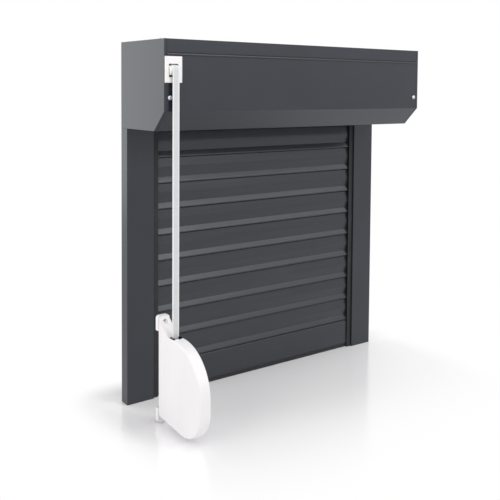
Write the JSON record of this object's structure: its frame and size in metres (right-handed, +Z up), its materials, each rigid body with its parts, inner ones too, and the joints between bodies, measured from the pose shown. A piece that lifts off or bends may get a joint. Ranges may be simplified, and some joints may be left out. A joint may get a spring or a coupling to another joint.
{
  "type": "exterior roller shutter",
  "caption": "Front-mounted exterior roller shutter: box with sloped lower edge, guide rails, curtain of curved hooked slats, bottom bar, strap guide and surface strap winder.",
  "frame": {"origin": "centre of the four wall screw holes, on the wall plane at the back of the box", "axes": "+Z up along the rails, +X along the box to the right as seen from the front, +Y into the wall; the front faces -Y"},
  "size_m": [0.596, 0.2469, 0.6428],
  "materials": {
    "anthracite_paint": "satin powder coat",
    "zinc_steel": "galvanised",
    "black_rubber": "matte",
    "dark_plastic": "matte",
    "white_plastic": "satin",
    "grey_strap": "woven",
    "foam": "foam"
  },
  "bodies": {
    "frame": {"end_cap_left": "anthracite_paint", "end_cap_right": "anthracite_paint", "shell": "anthracite_paint", "front_cover": "anthracite_paint", "cover_screws": "zinc_steel", "top_screws": "zinc_steel", "rail_left": "anthracite_paint", "rail_right": "anthracite_paint", "rail_seal_left": "black_rubber", "rail_seal_right": "black_rubber", "inlet_left": "dark_plastic", "inlet_right": "dark_plastic", "bearing_left": "zinc_steel", "bearing_right": "zinc_steel", "guide_plate": "white_plastic", "guide_pin": "zinc_steel", "hanging_springs": "zinc_steel", "strap_run": "grey_strap", "winder_bracket": "white_plastic", "housing_left": "white_plastic", "housing_right": "white_plastic"},
    "curtain": {"slat_1": "anthracite_paint", "slat_2": "anthracite_paint", "slat_3": "anthracite_paint", "slat_4": "anthracite_paint", "slat_5": "anthracite_paint", "slat_6": "anthracite_paint", "slat_7": "anthracite_paint", "slat_8": "anthracite_paint", "slat_9": "anthracite_paint", "slat_cores": "foam", "slat_end_locks": "dark_plastic", "bottom_bar": "anthracite_paint", "bar_glides": "dark_plastic", "bottom_seal": "black_rubber"},
    "roller": {"roller_tube": "zinc_steel", "plug_left": "dark_plastic", "plug_right": "dark_plastic", "strap_disc": "white_plastic", "strap_coil": "grey_strap"},
    "guide": {"guide_roller": "white_plastic"},
    "reel": {"winder_reel": "dark_plastic", "reel_strap": "grey_strap", "mainspring": "zinc_steel"}
  },
  "joints": [
    {"name": "curtain_lift", "type": "slide", "parent": "frame", "child": "curtain", "axis": [0, 0, 1], "range_m": [0, 0.14], "deforming": ["hanging_springs"]},
    {"name": "roller_spin", "type": "hinge", "parent": "frame", "child": "roller", "pos_m": [0, -0.078, 0], "axis": [1, 0, 0], "range_deg": [-1, 309.5]},
    {"name": "guide_spin", "type": "hinge", "parent": "frame", "child": "guide", "pos_m": [-0.2815, -0.148, 0.024], "axis": [1, 0, 0], "range_deg": [-1, 1733.1]},
    {"name": "reel_spin", "type": "hinge", "parent": "frame", "child": "reel", "pos_m": [-0.28, -0.1818, -0.488], "axis": [1, 0, 0], "range_deg": [-585.4, 1]}
  ],
  "couplings": [
    {"joint": "roller_spin", "follows": "curtain_lift", "rad_per_m": 38.462},
    {"joint": "guide_spin", "follows": "curtain_lift", "rad_per_m": 215.94},
    {"joint": "reel_spin", "follows": "curtain_lift", "rad_per_m": -72.858}
  ]
}
